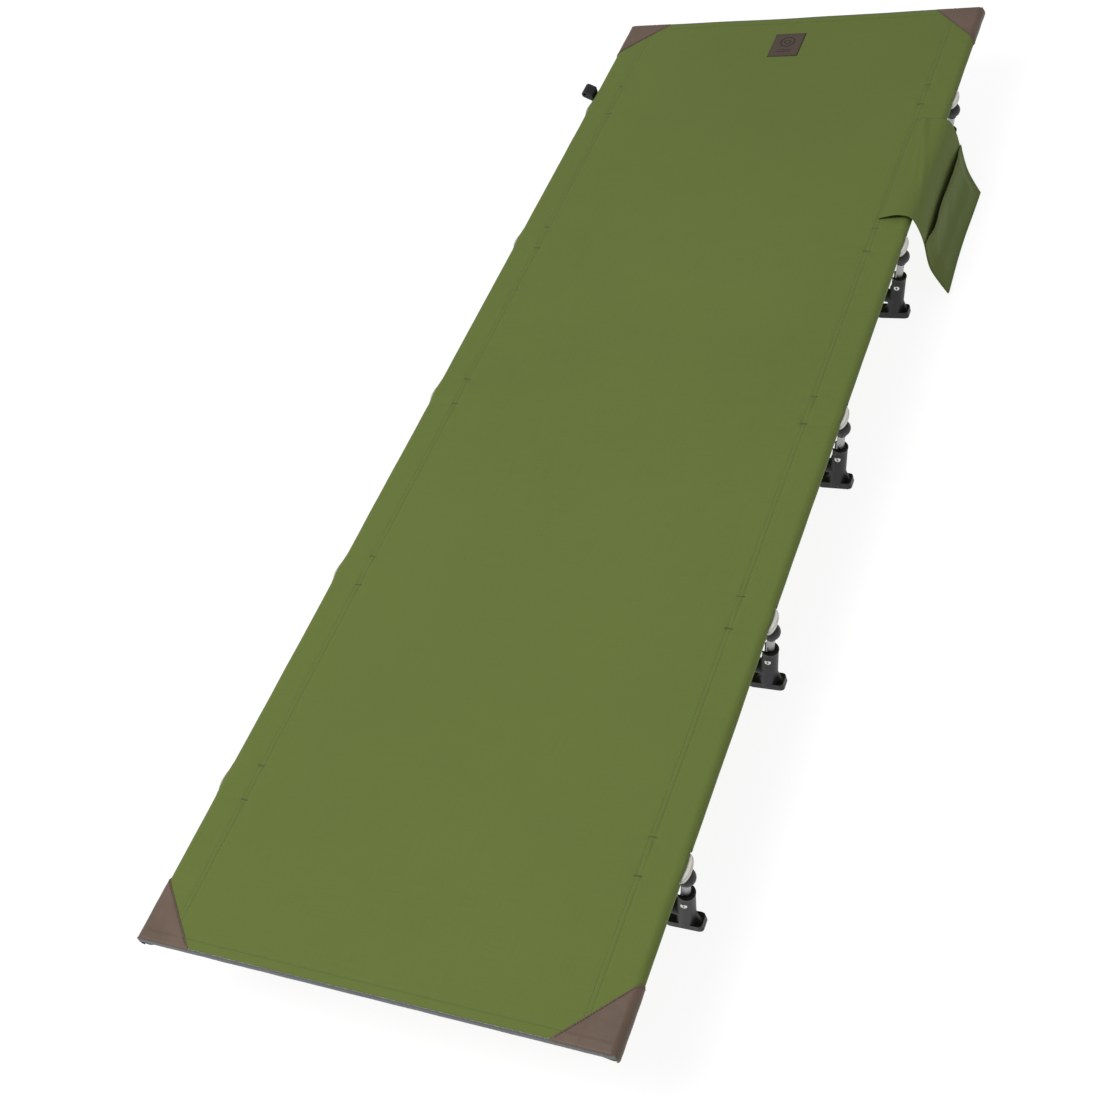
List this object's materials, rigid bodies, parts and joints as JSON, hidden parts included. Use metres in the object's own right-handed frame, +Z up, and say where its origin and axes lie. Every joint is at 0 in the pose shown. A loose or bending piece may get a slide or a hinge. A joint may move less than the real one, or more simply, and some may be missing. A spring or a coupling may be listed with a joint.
{
  "type": "folding cot",
  "caption": "Low folding camp cot: a taut fabric bed on two side poles, carried by arched leg sets that fold flat under it, with a side pocket.",
  "frame": {"origin": "on the floor under the middle of the overall box, pocket included; the cot's own centre line is at X = -0.0110 m", "axes": "+X across, towards the pocket side; +Y along the bed, towards the head end; +Z up"},
  "size_m": [0.713, 1.9, 0.1617],
  "materials": {
    "canvas": "matt woven olive green polyester",
    "leatherette": "semi-matt brown, fine grain",
    "binding": "ribbed grey tape",
    "aluminium": "satin anodised tube",
    "elastic": "braided elastic cord",
    "cream_nylon": "fine textured cream nylon",
    "grey_nylon": "dark grey moulded nylon",
    "black_nylon": "black moulded nylon, satin"
  },
  "bodies": {
    "bed": {"bed_fabric": "canvas", "corner_patch_head_right": "leatherette", "corner_patch_head_left": "leatherette", "corner_patch_foot_left": "leatherette", "corner_patch_foot_right": "leatherette", "end_binding_head": "binding", "end_binding_foot": "binding", "label_patch": "leatherette", "pocket_back": "canvas", "pocket_front": "canvas", "edge_catch": "black_nylon", "side_pole_right": "aluminium", "side_pole_left": "aluminium", "shock_cord_right": "elastic", "shock_cord_left": "elastic", "saddle_1_right": "cream_nylon", "saddle_1_left": "cream_nylon", "saddle_2_right": "cream_nylon", "saddle_2_left": "cream_nylon", "saddle_3_right": "cream_nylon", "saddle_3_left": "cream_nylon", "saddle_4_right": "cream_nylon", "saddle_4_left": "cream_nylon", "saddle_5_right": "cream_nylon", "saddle_5_left": "cream_nylon"},
    "leg_1_right_arm": {"leg_1_post_right": "aluminium", "leg_1_ball_right": "grey_nylon"},
    "leg_1_base": {"leg_1_bow": "aluminium", "leg_1_foot_right": "black_nylon", "leg_1_foot_left": "black_nylon"},
    "leg_1_left_arm": {"leg_1_post_left": "aluminium", "leg_1_ball_left": "grey_nylon"},
    "leg_2_right_arm": {"leg_2_post_right": "aluminium", "leg_2_ball_right": "grey_nylon"},
    "leg_2_base": {"leg_2_bow": "aluminium", "leg_2_foot_right": "black_nylon", "leg_2_foot_left": "black_nylon"},
    "leg_2_left_arm": {"leg_2_post_left": "aluminium", "leg_2_ball_left": "grey_nylon"},
    "leg_3_right_arm": {"leg_3_post_right": "aluminium", "leg_3_ball_right": "grey_nylon"},
    "leg_3_base": {"leg_3_bow": "aluminium", "leg_3_foot_right": "black_nylon", "leg_3_foot_left": "black_nylon"},
    "leg_3_left_arm": {"leg_3_post_left": "aluminium", "leg_3_ball_left": "grey_nylon"},
    "leg_4_right_arm": {"leg_4_post_right": "aluminium", "leg_4_ball_right": "grey_nylon"},
    "leg_4_base": {"leg_4_bow": "aluminium", "leg_4_foot_right": "black_nylon", "leg_4_foot_left": "black_nylon"},
    "leg_4_left_arm": {"leg_4_post_left": "aluminium", "leg_4_ball_left": "grey_nylon"},
    "leg_5_right_arm": {"leg_5_post_right": "aluminium", "leg_5_ball_right": "grey_nylon"},
    "leg_5_base": {"leg_5_bow": "aluminium", "leg_5_foot_right": "black_nylon", "leg_5_foot_left": "black_nylon"},
    "leg_5_left_arm": {"leg_5_post_left": "aluminium", "leg_5_ball_left": "grey_nylon"}
  },
  "joints": [
    {"name": "leg_1_fold", "type": "hinge", "parent": "bed", "child": "leg_1_right_arm", "pos_m": [0.30825, -0.714, 0.117], "axis": [0, -1, 0], "range_deg": [0, 85]},
    {"name": "leg_1_right_rivet", "type": "hinge", "parent": "leg_1_right_arm", "child": "leg_1_base", "pos_m": [0.29525, -0.714, 0.063], "axis": [0, -1, 0], "range_deg": [-85, 0]},
    {"name": "leg_1_left_rivet", "type": "hinge", "parent": "leg_1_base", "child": "leg_1_left_arm", "pos_m": [-0.31715, -0.714, 0.063], "axis": [0, 1, 0], "range_deg": [0, 85]},
    {"name": "leg_2_fold", "type": "hinge", "parent": "bed", "child": "leg_2_right_arm", "pos_m": [0.30825, -0.357, 0.117], "axis": [0, -1, 0], "range_deg": [0, 85]},
    {"name": "leg_2_right_rivet", "type": "hinge", "parent": "leg_2_right_arm", "child": "leg_2_base", "pos_m": [0.29525, -0.357, 0.063], "axis": [0, -1, 0], "range_deg": [-85, 0]},
    {"name": "leg_2_left_rivet", "type": "hinge", "parent": "leg_2_base", "child": "leg_2_left_arm", "pos_m": [-0.31715, -0.357, 0.063], "axis": [0, 1, 0], "range_deg": [0, 85]},
    {"name": "leg_3_fold", "type": "hinge", "parent": "bed", "child": "leg_3_right_arm", "pos_m": [0.30825, 0, 0.117], "axis": [0, -1, 0], "range_deg": [0, 85]},
    {"name": "leg_3_right_rivet", "type": "hinge", "parent": "leg_3_right_arm", "child": "leg_3_base", "pos_m": [0.29525, 0, 0.063], "axis": [0, -1, 0], "range_deg": [-85, 0]},
    {"name": "leg_3_left_rivet", "type": "hinge", "parent": "leg_3_base", "child": "leg_3_left_arm", "pos_m": [-0.31715, 0, 0.063], "axis": [0, 1, 0], "range_deg": [0, 85]},
    {"name": "leg_4_fold", "type": "hinge", "parent": "bed", "child": "leg_4_right_arm", "pos_m": [0.30825, 0.357, 0.117], "axis": [0, -1, 0], "range_deg": [0, 85]},
    {"name": "leg_4_right_rivet", "type": "hinge", "parent": "leg_4_right_arm", "child": "leg_4_base", "pos_m": [0.29525, 0.357, 0.063], "axis": [0, -1, 0], "range_deg": [-85, 0]},
    {"name": "leg_4_left_rivet", "type": "hinge", "parent": "leg_4_base", "child": "leg_4_left_arm", "pos_m": [-0.31715, 0.357, 0.063], "axis": [0, 1, 0], "range_deg": [0, 85]},
    {"name": "leg_5_fold", "type": "hinge", "parent": "bed", "child": "leg_5_right_arm", "pos_m": [0.30825, 0.714, 0.117], "axis": [0, -1, 0], "range_deg": [0, 85]},
    {"name": "leg_5_right_rivet", "type": "hinge", "parent": "leg_5_right_arm", "child": "leg_5_base", "pos_m": [0.29525, 0.714, 0.063], "axis": [0, -1, 0], "range_deg": [-85, 0]},
    {"name": "leg_5_left_rivet", "type": "hinge", "parent": "leg_5_base", "child": "leg_5_left_arm", "pos_m": [-0.31715, 0.714, 0.063], "axis": [0, 1, 0], "range_deg": [0, 85]}
  ],
  "couplings": [
    {"joint": "leg_1_right_rivet", "follows": "leg_1_fold", "ratio": -1},
    {"joint": "leg_1_left_rivet", "follows": "leg_1_fold", "ratio": 1},
    {"joint": "leg_2_right_rivet", "follows": "leg_2_fold", "ratio": -1},
    {"joint": "leg_2_left_rivet", "follows": "leg_2_fold", "ratio": 1},
    {"joint": "leg_3_right_rivet", "follows": "leg_3_fold", "ratio": -1},
    {"joint": "leg_3_left_rivet", "follows": "leg_3_fold", "ratio": 1},
    {"joint": "leg_4_right_rivet", "follows": "leg_4_fold", "ratio": -1},
    {"joint": "leg_4_left_rivet", "follows": "leg_4_fold", "ratio": 1},
    {"joint": "leg_5_right_rivet", "follows": "leg_5_fold", "ratio": -1},
    {"joint": "leg_5_left_rivet", "follows": "leg_5_fold", "ratio": 1}
  ]
}
